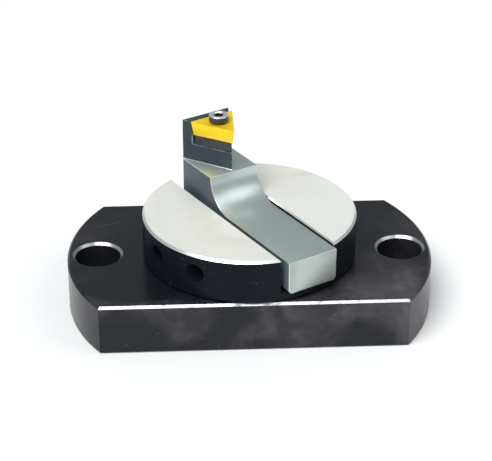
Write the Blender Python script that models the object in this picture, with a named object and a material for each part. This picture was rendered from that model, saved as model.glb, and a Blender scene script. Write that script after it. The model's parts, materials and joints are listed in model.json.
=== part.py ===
"""Ball turning attachment for a lathe.

A round swivel table turns on a two-hole base flange, on a bronze bush and a needle thrust bearing.
A goose-neck tool bar slides in the table's slot and carries a triangular insert whose cutting point
faces the swivel axis, so that swinging the table turns a ball.

Z is the swivel axis, with Z = 0 on the base's underside. X runs along the flange through its bolt holes.
The table's pieces are built in the table's own frame: X along the slot towards the bar's plain end,
Y across the slot towards the wall that locates the bar. An empty turns that frame about Z.
"""

import math

import bmesh
import bpy
from mathutils import Matrix

MM = 0.001
CLEARANCE = 0.3 * MM  # between faces that touch or run on each other
OVER = 2.0 * MM  # how far a cutter passes the face that it leaves
MERGE = 0.00001
SHARP_ANGLE = math.radians(32)

# Base flange
FLANGE_LENGTH = 120 * MM
FLANGE_WIDTH = 68.8 * MM
FLANGE_THICKNESS = 17 * MM
FLANGE_TOP_CHAMFER = 0.7 * MM
FLANGE_FOOT_CHAMFER = 0.6 * MM
BOLT_HOLE_DIAMETER = 15 * MM
BOLT_HOLE_CHAMFER = 0.8 * MM
BOLT_HOLE_LAND = 1.7 * MM  # between the hole's chamfer and the flange's round end
SEAL_LAND = 2.7 * MM  # wall between the bearing recess and the seal groove

# Bearing
SPIGOT_DIAMETER = 22 * MM
BUSH_WALL = 1.7 * MM
RACE_THICKNESS = 1 * MM
RACE_SIDE_CLEARANCE = 0.5 * MM
NEEDLE_DIAMETER = 2 * MM
NEEDLE_LENGTH = 6 * MM
NEEDLE_COUNT = 20
CAGE_THICKNESS = 1.4 * MM
CAGE_RIM = 1.3 * MM  # past each end of a needle's window
SEAL_THICKNESS = 2 * MM

# Nut and washers under the web
NUT_LIFT = 0.8 * MM  # keeps the nut off whatever the base stands on
NUT_RECESS_MARGIN = 2 * MM  # room round the thrust washer
THREAD_STEP = 1 * MM  # the spigot's thread is this much smaller in radius
THREAD_PROUD = 0.2 * MM
THREAD_END_CHAMFER = 0.6 * MM
THRUST_WASHER_MARGIN = 2 * MM  # past the nut's rim
THRUST_WASHER_THICKNESS = 1 * MM
TAB_WASHER_SETBACK = 1.7 * MM  # of the tabs' roots, inside the nut's rim
TAB_WASHER_THICKNESS = 0.8 * MM
TAB_COUNT = 9
TAB_WIDTH = 3.6 * MM
TAB_REACH = 2.2 * MM
NUT_DIAMETER = 36 * MM
NUT_HEIGHT = 3.5 * MM
NUT_CHAMFER = 0.6 * MM
NUT_SLOT_COUNT = 4
NUT_SLOT_DEPTH = 2.6 * MM
KEYWAY_DEPTH = 1.6 * MM

# Swivel table
TABLE_DIAMETER = 70 * MM
TABLE_THICKNESS = 15 * MM
TABLE_CHAMFER = 0.7 * MM
TABLE_TURN = math.radians(-60)
SLOT_WIDTH = 20 * MM
SLOT_DEPTH = 12.2 * MM
SLOT_CHAMFER = 0.4 * MM
BOSS_HEIGHT = 0.6 * MM
BOSS_MARGIN = 1.5 * MM  # how far the thrust boss stays inside the race's rim
LEVER_HOLE_DIAMETER = 8.5 * MM
LEVER_HOLE_WALL = 2.6 * MM  # between the hole's blind end and the slot
LEVER_HOLE_CHAMFER = 0.8 * MM
LEVER_ANGLE = math.radians(60)  # from the slot's direction

# Tool bar
BAR_PLAY = 1.7 * MM  # between the bar and the slot's wall on the clamp screws' side
BAR_DROP = 0.8 * MM  # of the bar's top under the table's face
BAR_FRONT = 35.6 * MM  # plain end, from the swivel axis along the slot
BAR_BACK = 28 * MM  # head end, from the swivel axis the other way
BAR_CHAMFER = 1 * MM
NECK_RADIUS = 10.3 * MM
NOSE_SETBACK = 1.3 * MM  # of the head's nose under the insert's corner
NECK_LEDGE = 0.94 * MM  # between that nose and the top of the neck's curve
HEAD_WALL = 3.3 * MM  # thickness of the stop behind the insert
STOP_DROP = 0.4 * MM  # top of that stop below the insert's rake face

# Insert, shim and their screws
INSERT_INSCRIBED = 9.525 * MM
INSERT_THICKNESS = 4.76 * MM
INSERT_CORNER = 0.4 * MM
INSERT_LEAST_CORNER = 0.1 * MM
INSERT_RELIEF = math.radians(7)
INSERT_WALL = 2.56 * MM  # between the insert's hole and its side
CENTRE_HEIGHT = 24 * MM  # rake face over the table's face
SHIM_THICKNESS = 3 * MM
SHIM_MARGIN = 0.2 * MM
SHIM_RIM = 0.6 * MM  # round the counterbore for the shim screw's flange
SHIM_SCREW_WALL = 0.5 * MM
SHIM_SCREW_FLANGE_THICKNESS = 1 * MM
SHIM_SCREW_LENGTH = 6 * MM
INSERT_SCREW_PLAY = 0.5 * MM  # all round the screw in the insert's hole
INSERT_SCREW_LENGTH = 8 * MM
INSERT_SCREW_HEAD_DIAMETER = 6.5 * MM
INSERT_SCREW_HEAD_HEIGHT = 2.3 * MM
INSERT_SCREW_HEX = 3 * MM

# Clamp screws
CLAMP_SPACING = 16 * MM
CLAMP_SCREW_DIAMETER = 5.4 * MM
CLAMP_SCREW_LENGTH = 14 * MM
CLAMP_SCREW_HEX = 3 * MM
CLAMP_SCREW_SOCKET_DEPTH = 4 * MM
CLAMP_SCREW_CHAMFER = 0.7 * MM
CLAMP_NAMES = ("clamp_screw_head_end", "clamp_screw_middle", "clamp_screw_plain_end")

# Heights, from the base's underside up
NUT_BOTTOM = NUT_LIFT
NUT_TOP = NUT_BOTTOM + NUT_HEIGHT
THREAD_END = NUT_BOTTOM - THREAD_PROUD
TAB_WASHER_BOTTOM = NUT_TOP + CLEARANCE
TAB_WASHER_TOP = TAB_WASHER_BOTTOM + TAB_WASHER_THICKNESS
THRUST_WASHER_BOTTOM = TAB_WASHER_TOP + CLEARANCE
THRUST_WASHER_TOP = THRUST_WASHER_BOTTOM + THRUST_WASHER_THICKNESS
WEB_BOTTOM = THRUST_WASHER_TOP + CLEARANCE
TABLE_BOTTOM = FLANGE_THICKNESS + CLEARANCE
BOSS_BOTTOM = TABLE_BOTTOM - BOSS_HEIGHT
UPPER_RACE_TOP = BOSS_BOTTOM - CLEARANCE
UPPER_RACE_BOTTOM = UPPER_RACE_TOP - RACE_THICKNESS
NEEDLE_AXIS = UPPER_RACE_BOTTOM - CLEARANCE - NEEDLE_DIAMETER / 2
LOWER_RACE_TOP = NEEDLE_AXIS - NEEDLE_DIAMETER / 2 - CLEARANCE
LOWER_RACE_BOTTOM = LOWER_RACE_TOP - RACE_THICKNESS
WEB_TOP = LOWER_RACE_BOTTOM - CLEARANCE
TABLE_TOP = TABLE_BOTTOM + TABLE_THICKNESS
SLOT_FLOOR = TABLE_TOP - SLOT_DEPTH
BAR_BOTTOM = SLOT_FLOOR + CLEARANCE
BAR_TOP = TABLE_TOP - BAR_DROP
BAR_MIDDLE = (BAR_BOTTOM + BAR_TOP) / 2
NECK_TOP = BAR_TOP + NECK_RADIUS
RAKE = TABLE_TOP + CENTRE_HEIGHT
INSERT_BOTTOM = RAKE - INSERT_THICKNESS
SHIM_TOP = INSERT_BOTTOM - CLEARANCE
SHIM_BOTTOM = SHIM_TOP - SHIM_THICKNESS
SEAT = SHIM_BOTTOM - CLEARANCE
STOP_TOP = RAKE - STOP_DROP

# Radii about the swivel axis
TABLE_RADIUS = TABLE_DIAMETER / 2
BOLT_HOLE_MIDDLE = FLANGE_LENGTH / 2 - BOLT_HOLE_LAND - BOLT_HOLE_CHAMFER - BOLT_HOLE_DIAMETER / 2
SPIGOT_RADIUS = SPIGOT_DIAMETER / 2
BUSH_BORE = SPIGOT_RADIUS + CLEARANCE
BUSH_RADIUS = BUSH_BORE + BUSH_WALL
RACE_BORE = BUSH_RADIUS + CLEARANCE
RACE_RADIUS = RACE_BORE + NEEDLE_LENGTH + 2 * (CLEARANCE + CAGE_RIM)
BEARING_RECESS_RADIUS = RACE_RADIUS + RACE_SIDE_CLEARANCE
NEEDLE_MIDDLE = (RACE_BORE + RACE_RADIUS) / 2
SEAL_GROOVE_INNER = BEARING_RECESS_RADIUS + SEAL_LAND
SEAL_RADIUS = SEAL_GROOVE_INNER + CLEARANCE + SEAL_THICKNESS / 2
SEAL_GROOVE_OUTER = SEAL_RADIUS + SEAL_THICKNESS / 2 + CLEARANCE
SEAL_GROOVE_FLOOR = TABLE_BOTTOM - 2 * CLEARANCE - SEAL_THICKNESS
THREAD_RADIUS = SPIGOT_RADIUS - THREAD_STEP
NUT_BORE = THREAD_RADIUS + CLEARANCE
NUT_RADIUS = NUT_DIAMETER / 2
TAB_WASHER_RADIUS = NUT_RADIUS - TAB_WASHER_SETBACK
THRUST_WASHER_RADIUS = NUT_RADIUS + THRUST_WASHER_MARGIN
NUT_RECESS_RADIUS = THRUST_WASHER_RADIUS + NUT_RECESS_MARGIN

# Radii about the insert's axis
INSERT_INRADIUS = INSERT_INSCRIBED / 2
INSERT_LEAN = INSERT_THICKNESS * math.tan(INSERT_RELIEF)
INSERT_HOLE = INSERT_INRADIUS - INSERT_WALL
INSERT_SCREW = INSERT_HOLE - INSERT_SCREW_PLAY
SHIM_INRADIUS = INSERT_INRADIUS - INSERT_LEAN - SHIM_MARGIN
SHIM_SCREW_BORE = INSERT_SCREW + CLEARANCE
SHIM_SCREW_SHANK = SHIM_SCREW_BORE + SHIM_SCREW_WALL
SHIM_SCREW_FLANGE = SHIM_INRADIUS - SHIM_RIM - CLEARANCE

# Places in the table's frame
LOCATING_FACE = SLOT_WIDTH / 2 - CLEARANCE
BAR_SIDE = BAR_PLAY - SLOT_WIDTH / 2  # the side that the clamp screws press on
BAR_WIDTH = LOCATING_FACE - BAR_SIDE
BAR_AXIS = (LOCATING_FACE + BAR_SIDE) / 2
STOP_FACE = -BAR_BACK + HEAD_WALL
INSERT_CENTRE = STOP_FACE + CLEARANCE + INSERT_INRADIUS
HEAD_NOSE = INSERT_CENTRE + INSERT_INSCRIBED - NOSE_SETBACK
NECK_BACK = HEAD_NOSE + NECK_LEDGE
NECK_FRONT = NECK_BACK + NECK_RADIUS
CLAMP_SCREW_TIP = BAR_SIDE - CLEARANCE
LEVER_HOLE = LEVER_HOLE_DIAMETER / 2
LEVER_HOLE_END = (
    SLOT_WIDTH / 2 + LEVER_HOLE_WALL + LEVER_HOLE * math.cos(LEVER_ANGLE)
) / math.sin(LEVER_ANGLE)

BLACK_OXIDE = ((0.018, 0.018, 0.022), 0.32, 0.85)
GROUND_STEEL = ((0.78, 0.79, 0.78), 0.24, 1.0)
BLUED_STEEL = ((0.10, 0.13, 0.14), 0.30, 0.9)
BEARING_STEEL = ((0.62, 0.63, 0.65), 0.18, 1.0)
BRONZE = ((0.62, 0.42, 0.20), 0.38, 1.0)
PRESSED_STEEL = ((0.48, 0.47, 0.44), 0.42, 1.0)
NITRILE = ((0.015, 0.015, 0.015), 0.65, 0.0)
NITRIDE_GOLD = ((0.90, 0.62, 0.10), 0.33, 1.0)
CARBIDE = ((0.14, 0.14, 0.15), 0.40, 0.9)
SCREW_STEEL = ((0.16, 0.15, 0.18), 0.35, 0.9)


def clear_scene():
    for obj in list(bpy.data.objects):
        bpy.data.objects.remove(obj)


def axis_empty(name, location=(0, 0, 0), turn=0, parent=None):
    """An empty on a joint's axis, which its pieces hang from."""
    empty = bpy.data.objects.new(name, None)
    empty.location = location
    empty.rotation_euler.z = turn
    empty.parent = parent
    bpy.context.scene.collection.objects.link(empty)
    return empty


def mesh_object(name, bm, parent=None):
    mesh = bpy.data.meshes.new(name)
    bm.to_mesh(mesh)
    bm.free()
    obj = bpy.data.objects.new(name, mesh)
    obj.parent = parent
    bpy.context.scene.collection.objects.link(obj)
    return obj


def finish_material(name, finish):
    colour, roughness, metallic = finish
    material = bpy.data.materials.new(name)
    material.use_nodes = True
    shader = material.node_tree.nodes["Principled BSDF"]
    shader.inputs["Base Color"].default_value = (*colour, 1)
    shader.inputs["Roughness"].default_value = roughness
    shader.inputs["Metallic"].default_value = metallic
    return material


def piece(name, bm, finish, parent=None):
    """A named piece with a material of its own, smooth but for its real edges."""
    obj = mesh_object(name, bm, parent)
    obj.data.shade_smooth()
    obj.data.set_sharp_from_angle(angle=SHARP_ANGLE)
    obj.data.materials.append(finish_material(name + "_finish", finish))
    return obj


def boolean(target, tool_name, bm, operation="DIFFERENCE"):
    """Cuts a tool shape from the target, or joins it on. The tool shares the target's frame."""
    tool = mesh_object(tool_name, bm, target.parent)
    tool.hide_render = True
    tool.display_type = "WIRE"
    modifier = target.modifiers.new(tool_name, "BOOLEAN")
    modifier.object = tool
    modifier.operation = operation
    modifier.solver = "EXACT"


def turned(outline, segments):
    """A solid of revolution about Z from a closed (radius, height) outline.

    An outline that starts and ends on the axis is left open there.
    """
    bm = bmesh.new()
    corners = [bm.verts.new((radius, 0, height)) for radius, height in outline]
    edges = [bm.edges.new(pair) for pair in zip(corners, corners[1:])]
    if outline[0][0] > 0:
        edges.append(bm.edges.new((corners[-1], corners[0])))
    bmesh.ops.spin(
        bm, geom=corners + edges, axis=(0, 0, 1), angle=2 * math.pi, steps=segments, use_merge=True
    )
    bmesh.ops.remove_doubles(bm, verts=bm.verts, dist=MERGE)
    bmesh.ops.recalc_face_normals(bm, faces=bm.faces)
    return bm


def ring(inner, outer, bottom, top, segments=48):
    return turned([(inner, bottom), (outer, bottom), (outer, top), (inner, top)], segments)


def prism(outline, start, end, plane="XY", bm=None):
    """An outline in the named plane, extruded along the third axis from start to end."""
    bm = bm or bmesh.new()
    place = {
        "XY": lambda a, b, depth: (a, b, depth),
        "XZ": lambda a, b, depth: (a, depth, b),
        "YZ": lambda a, b, depth: (depth, a, b),
    }[plane]
    face = bm.faces.new([bm.verts.new(place(a, b, start)) for a, b in outline])
    grown = bmesh.ops.extrude_face_region(bm, geom=[face])["geom"]
    ends = [item for item in grown if isinstance(item, bmesh.types.BMVert)]
    bmesh.ops.translate(bm, verts=ends, vec=place(0, 0, end - start))
    bmesh.ops.recalc_face_normals(bm, faces=bm.faces)
    return bm


def box(x_range, y_range, z_range, turn=0, bm=None):
    """A box, turned about Z after it is placed."""
    bm = bm or bmesh.new()
    sizes = [high - low for low, high in (x_range, y_range, z_range)]
    middles = [(high + low) / 2 for low, high in (x_range, y_range, z_range)]
    place = Matrix.Rotation(turn, 4, "Z") @ Matrix.Translation(middles) @ Matrix.Diagonal((*sizes, 1))
    bmesh.ops.create_cube(bm, size=1, matrix=place)
    return bm


def rod(radius, start, end, segments, along=None):
    """A round or, with six segments, a hexagonal rod on Z, then moved by the matrix."""
    bm = bmesh.new()
    place = Matrix.Translation((0, 0, (start + end) / 2))
    bmesh.ops.create_cone(
        bm,
        cap_ends=True,
        segments=segments,
        radius1=radius,
        radius2=radius,
        depth=end - start,
        matrix=(along or Matrix()) @ place,
    )
    return bm


def hex_radius(across_flats):
    return across_flats / math.sqrt(3)


def arc(centre, radius, start, end, steps):
    """Points on an arc, both ends included, with angles in radians."""
    angles = [start + (end - start) * step / steps for step in range(steps + 1)]
    return [(centre[0] + radius * math.cos(a), centre[1] + radius * math.sin(a)) for a in angles]


def rounded_triangle(inradius, corner, steps=5):
    """A triangle with round corners about the origin, one corner towards +X."""
    outline = []
    for number in range(3):
        heading = number * 2 * math.pi / 3
        reach = 2 * (inradius - corner)
        centre = (reach * math.cos(heading), reach * math.sin(heading))
        outline += arc(centre, corner, heading - math.pi / 3, heading + math.pi / 3, steps)
    return outline


def base_flange():
    outline = [
        (NUT_RECESS_RADIUS, 0),
        (FLANGE_LENGTH / 2 - FLANGE_FOOT_CHAMFER, 0),
        (FLANGE_LENGTH / 2, FLANGE_FOOT_CHAMFER),
        (FLANGE_LENGTH / 2, FLANGE_THICKNESS - FLANGE_TOP_CHAMFER),
        (FLANGE_LENGTH / 2 - FLANGE_TOP_CHAMFER, FLANGE_THICKNESS),
        (SEAL_GROOVE_OUTER, FLANGE_THICKNESS),
        (SEAL_GROOVE_OUTER, SEAL_GROOVE_FLOOR),
        (SEAL_GROOVE_INNER, SEAL_GROOVE_FLOOR),
        (SEAL_GROOVE_INNER, FLANGE_THICKNESS),
        (BEARING_RECESS_RADIUS, FLANGE_THICKNESS),
        (BEARING_RECESS_RADIUS, WEB_TOP),
        (BUSH_RADIUS + CLEARANCE, WEB_TOP),
        (BUSH_RADIUS + CLEARANCE, WEB_BOTTOM),
        (NUT_RECESS_RADIUS, WEB_BOTTOM),
    ]
    flange = piece("base_flange", turned(outline, 96), BLACK_OXIDE)

    flats = bmesh.new()
    for side in (-1, 1):
        edge = FLANGE_WIDTH / 2
        outline = [
            (edge - FLANGE_FOOT_CHAMFER - OVER, -OVER),
            (edge, FLANGE_FOOT_CHAMFER),
            (edge, FLANGE_THICKNESS - FLANGE_TOP_CHAMFER),
            (edge - FLANGE_TOP_CHAMFER - OVER, FLANGE_THICKNESS + OVER),
            (FLANGE_LENGTH / 2 + OVER, FLANGE_THICKNESS + OVER),
            (FLANGE_LENGTH / 2 + OVER, -OVER),
        ]
        mirrored = [(side * across, height) for across, height in outline]
        prism(mirrored, -FLANGE_LENGTH / 2 - OVER, FLANGE_LENGTH / 2 + OVER, "YZ", flats)
    boolean(flange, "flange_flats_cutter", flats)

    hole = BOLT_HOLE_DIAMETER / 2
    outline = [
        (0, -OVER),
        (hole, -OVER),
        (hole, FLANGE_THICKNESS - BOLT_HOLE_CHAMFER),
        (hole + BOLT_HOLE_CHAMFER + OVER, FLANGE_THICKNESS + OVER),
        (0, FLANGE_THICKNESS + OVER),
    ]
    for side, end in ((-1, "left"), (1, "right")):
        cutter = turned(outline, 32)
        bmesh.ops.translate(cutter, verts=cutter.verts, vec=(side * BOLT_HOLE_MIDDLE, 0, 0))
        boolean(flange, f"bolt_hole_cutter_{end}", cutter)


def pivot_bush():
    piece("pivot_bush", ring(BUSH_BORE, BUSH_RADIUS, WEB_BOTTOM, UPPER_RACE_TOP), BRONZE)


def dust_seal():
    bm = bmesh.new()
    section = bmesh.ops.create_circle(
        bm,
        segments=8,
        radius=SEAL_THICKNESS / 2,
        matrix=Matrix.Translation((SEAL_RADIUS, 0, TABLE_BOTTOM - CLEARANCE - SEAL_THICKNESS / 2))
        @ Matrix.Rotation(math.pi / 2, 4, "X"),
    )
    bmesh.ops.spin(
        bm,
        geom=section["verts"] + list(bm.edges),
        axis=(0, 0, 1),
        angle=2 * math.pi,
        steps=48,
        use_merge=True,
    )
    bmesh.ops.recalc_face_normals(bm, faces=bm.faces)
    piece("dust_seal", bm, NITRILE)


def thrust_bearing(table_axis, cage_axis):
    piece(
        "thrust_race_lower", ring(RACE_BORE, RACE_RADIUS, LOWER_RACE_BOTTOM, LOWER_RACE_TOP), BEARING_STEEL
    )
    piece(
        "thrust_race_upper",
        ring(RACE_BORE, RACE_RADIUS, UPPER_RACE_BOTTOM, UPPER_RACE_TOP),
        BEARING_STEEL,
        table_axis,
    )

    cage_bottom = NEEDLE_AXIS - CAGE_THICKNESS / 2
    cage_top = NEEDLE_AXIS + CAGE_THICKNESS / 2
    cage = piece("needle_cage", ring(RACE_BORE, RACE_RADIUS, cage_bottom, cage_top), PRESSED_STEEL, cage_axis)
    turns = [number * 2 * math.pi / NEEDLE_COUNT for number in range(NEEDLE_COUNT)]
    window_ends = (
        NEEDLE_MIDDLE - NEEDLE_LENGTH / 2 - CLEARANCE,
        NEEDLE_MIDDLE + NEEDLE_LENGTH / 2 + CLEARANCE,
    )
    half_width = NEEDLE_DIAMETER / 2 + CLEARANCE
    windows = bmesh.new()
    for turn in turns:
        box(
            window_ends,
            (-half_width, half_width),
            (cage_bottom - OVER, cage_top + OVER),
            turn,
            windows,
        )
    boolean(cage, "cage_window_cutter", windows)

    radial = Matrix.Rotation(math.pi / 2, 4, "Y")
    for number, turn in enumerate(turns, start=1):
        needle = piece(
            f"needle_roller_{number:02d}",
            rod(NEEDLE_DIAMETER / 2, -NEEDLE_LENGTH / 2, NEEDLE_LENGTH / 2, 10, radial),
            BEARING_STEEL,
            cage_axis,
        )
        needle.location = (NEEDLE_MIDDLE * math.cos(turn), NEEDLE_MIDDLE * math.sin(turn), NEEDLE_AXIS)
        needle.rotation_euler.z = turn


def swivel_table(table_axis):
    outline = [
        (0, THREAD_END),
        (THREAD_RADIUS - THREAD_END_CHAMFER, THREAD_END),
        (THREAD_RADIUS, THREAD_END + THREAD_END_CHAMFER),
        (THREAD_RADIUS, WEB_BOTTOM),
        (SPIGOT_RADIUS, WEB_BOTTOM),
        (SPIGOT_RADIUS, BOSS_BOTTOM),
        (RACE_RADIUS - BOSS_MARGIN, BOSS_BOTTOM),
        (RACE_RADIUS - BOSS_MARGIN, TABLE_BOTTOM),
        (TABLE_RADIUS - TABLE_CHAMFER, TABLE_BOTTOM),
        (TABLE_RADIUS, TABLE_BOTTOM + TABLE_CHAMFER),
        (TABLE_RADIUS, TABLE_TOP - TABLE_CHAMFER),
        (TABLE_RADIUS - TABLE_CHAMFER, TABLE_TOP),
        (0, TABLE_TOP),
    ]
    table = piece("swivel_table", turned(outline, 80), GROUND_STEEL, table_axis)

    half = SLOT_WIDTH / 2
    mouth = half + SLOT_CHAMFER + OVER
    outline = [
        (-half, SLOT_FLOOR),
        (half, SLOT_FLOOR),
        (half, TABLE_TOP - SLOT_CHAMFER),
        (mouth, TABLE_TOP + OVER),
        (-mouth, TABLE_TOP + OVER),
        (-half, TABLE_TOP - SLOT_CHAMFER),
    ]
    boolean(
        table, "slot_cutter", prism(outline, -TABLE_RADIUS - OVER, TABLE_RADIUS + OVER, "YZ")
    )

    outwards = Matrix.Rotation(math.pi / 2, 4, "X")
    for number, name in enumerate(CLAMP_NAMES):
        along = Matrix.Translation(((number - 1) * CLAMP_SPACING, 0, BAR_MIDDLE)) @ outwards
        cutter = rod(
            CLAMP_SCREW_DIAMETER / 2 + CLEARANCE, half - OVER, TABLE_RADIUS + OVER, 20, along
        )
        boolean(table, name + "_hole_cutter", cutter)

    outline = [
        (0, LEVER_HOLE_END),
        (LEVER_HOLE, LEVER_HOLE_END),
        (LEVER_HOLE, TABLE_RADIUS - LEVER_HOLE_CHAMFER),
        (LEVER_HOLE + LEVER_HOLE_CHAMFER + OVER, TABLE_RADIUS + OVER),
        (0, TABLE_RADIUS + OVER),
    ]
    cutter = turned(outline, 24)
    place = (
        Matrix.Translation((0, 0, (TABLE_TOP + TABLE_BOTTOM) / 2))
        @ Matrix.Rotation(LEVER_ANGLE, 4, "Z")
        @ Matrix.Rotation(math.pi / 2, 4, "Y")
    )
    bmesh.ops.transform(cutter, matrix=place, verts=cutter.verts)
    boolean(table, "lever_hole_cutter", cutter)

    keyway = box(
        (THREAD_RADIUS - KEYWAY_DEPTH, THREAD_RADIUS + OVER),
        (-TAB_WIDTH / 2 - CLEARANCE, TAB_WIDTH / 2 + CLEARANCE),
        (THREAD_END - OVER, THRUST_WASHER_TOP),
    )
    boolean(table, "keyway_cutter", keyway)


def nut_and_washers(table_axis):
    piece(
        "thrust_washer",
        ring(NUT_BORE, THRUST_WASHER_RADIUS, THRUST_WASHER_BOTTOM, THRUST_WASHER_TOP),
        BRONZE,
        table_axis,
    )

    rim = TAB_WASHER_RADIUS
    washer = piece(
        "tab_washer",
        ring(NUT_BORE, rim, TAB_WASHER_BOTTOM, TAB_WASHER_TOP),
        PRESSED_STEEL,
        table_axis,
    )
    plate = (TAB_WASHER_BOTTOM, TAB_WASHER_TOP)
    width = (-TAB_WIDTH / 2, TAB_WIDTH / 2)
    root = TAB_WASHER_THICKNESS
    tabs = bmesh.new()
    box((THREAD_RADIUS - KEYWAY_DEPTH + CLEARANCE, NUT_BORE + root), width, plate, 0, tabs)
    for number in range(1, TAB_COUNT):
        turn = number * 2 * math.pi / TAB_COUNT
        box((rim - root, rim + TAB_REACH), width, plate, turn, tabs)
    bent_face = NUT_RADIUS - NUT_SLOT_DEPTH + CLEARANCE
    bent_tab = [
        (rim - 2 * root, TAB_WASHER_TOP),
        (rim - 2 * root, TAB_WASHER_BOTTOM),
        (bent_face, TAB_WASHER_BOTTOM),
        (bent_face, NUT_TOP - NUT_HEIGHT / 2),
        (bent_face + root, NUT_TOP - NUT_HEIGHT / 2),
        (bent_face + root, TAB_WASHER_TOP),
    ]
    prism(bent_tab, *width, "XZ", tabs)
    boolean(washer, "washer_tabs", tabs, "UNION")

    outline = [
        (NUT_BORE, NUT_BOTTOM),
        (NUT_RADIUS - NUT_CHAMFER, NUT_BOTTOM),
        (NUT_RADIUS, NUT_BOTTOM + NUT_CHAMFER),
        (NUT_RADIUS, NUT_TOP),
        (NUT_BORE, NUT_TOP),
    ]
    nut = piece("lock_nut", turned(outline, 48), BLUED_STEEL, table_axis)
    slots = bmesh.new()
    half_width = TAB_WIDTH / 2 + CLEARANCE
    for number in range(NUT_SLOT_COUNT):
        box(
            (NUT_RADIUS - NUT_SLOT_DEPTH, NUT_RADIUS + OVER),
            (-half_width, half_width),
            (NUT_BOTTOM - OVER, NUT_TOP + OVER),
            number * 2 * math.pi / NUT_SLOT_COUNT,
            slots,
        )
    boolean(nut, "nut_slot_cutter", slots)


def clamp_screws(table_axis):
    radius = CLAMP_SCREW_DIAMETER / 2
    outline = [
        (0, 0),
        (radius - CLAMP_SCREW_CHAMFER, 0),
        (radius, CLAMP_SCREW_CHAMFER),
        (radius, CLAMP_SCREW_LENGTH - CLAMP_SCREW_CHAMFER),
        (radius - CLAMP_SCREW_CHAMFER, CLAMP_SCREW_LENGTH),
        (0, CLAMP_SCREW_LENGTH),
    ]
    for number, name in enumerate(CLAMP_NAMES):
        tip = ((number - 1) * CLAMP_SPACING, CLAMP_SCREW_TIP, BAR_MIDDLE)
        axis = axis_empty(name + "_axis", tip, 0, table_axis)
        axis.rotation_euler.x = math.pi / 2
        screw = piece(name, turned(outline, 20), SCREW_STEEL, axis)
        socket = rod(
            hex_radius(CLAMP_SCREW_HEX),
            CLAMP_SCREW_LENGTH - CLAMP_SCREW_SOCKET_DEPTH,
            CLAMP_SCREW_LENGTH + OVER,
            6,
        )
        boolean(screw, name + "_socket_cutter", socket)


def tool_bar(bar_axis):
    neck = arc((NECK_FRONT, NECK_TOP), NECK_RADIUS, -math.pi / 2, -math.pi, 12)
    outline = [
        (-BAR_BACK, BAR_BOTTOM),
        (BAR_FRONT, BAR_BOTTOM),
        (BAR_FRONT, BAR_TOP),
        *neck,
        (NECK_BACK, STOP_TOP),
        (-BAR_BACK, STOP_TOP),
    ]
    bm = prism(outline, BAR_SIDE, LOCATING_FACE, "XZ")
    long_edges = [
        edge
        for edge in bm.edges
        if all(abs(vert.co.z - BAR_BOTTOM) < MERGE for vert in edge.verts)
        and abs(edge.verts[0].co.y - edge.verts[1].co.y) < MERGE
    ]
    bmesh.ops.bevel(
        bm,
        geom=long_edges,
        offset=BAR_CHAMFER,
        segments=1,
        profile=0.5,
        affect="EDGES",
        material=-1,
    )
    bar = piece("tool_bar", bm, BLUED_STEEL, bar_axis)

    # The cutter leaves a wedge that widens from the head's nose to the bar's full width at its back.
    flare = (BAR_WIDTH / 2) / (HEAD_NOSE + BAR_BACK)
    past_back = -BAR_BACK - OVER
    past_front = NECK_FRONT
    wedge = flare * (HEAD_NOSE - past_back)
    outside = BAR_WIDTH / 2 + 2 * OVER
    outline = [
        (past_back, BAR_AXIS + outside),
        (past_back, BAR_AXIS + wedge),
        (HEAD_NOSE, BAR_AXIS),
        (past_back, BAR_AXIS - wedge),
        (past_back, BAR_AXIS - outside),
        (past_front, BAR_AXIS - outside),
        (past_front, BAR_AXIS + outside),
    ]
    boolean(bar, "head_wedge_cutter", prism(outline, NECK_TOP, STOP_TOP + OVER))

    pocket = box(
        (STOP_FACE, past_front),
        (BAR_AXIS - outside, BAR_AXIS + outside),
        (SEAT, STOP_TOP + OVER),
    )
    boolean(bar, "insert_pocket_cutter", pocket)

    place = Matrix.Translation((INSERT_CENTRE, BAR_AXIS, 0))
    depth = SHIM_SCREW_LENGTH + CLEARANCE
    hole = rod(SHIM_SCREW_SHANK + CLEARANCE, SEAT - depth, SEAT + OVER, 24, place)
    boolean(bar, "shim_screw_hole_cutter", hole)


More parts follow.
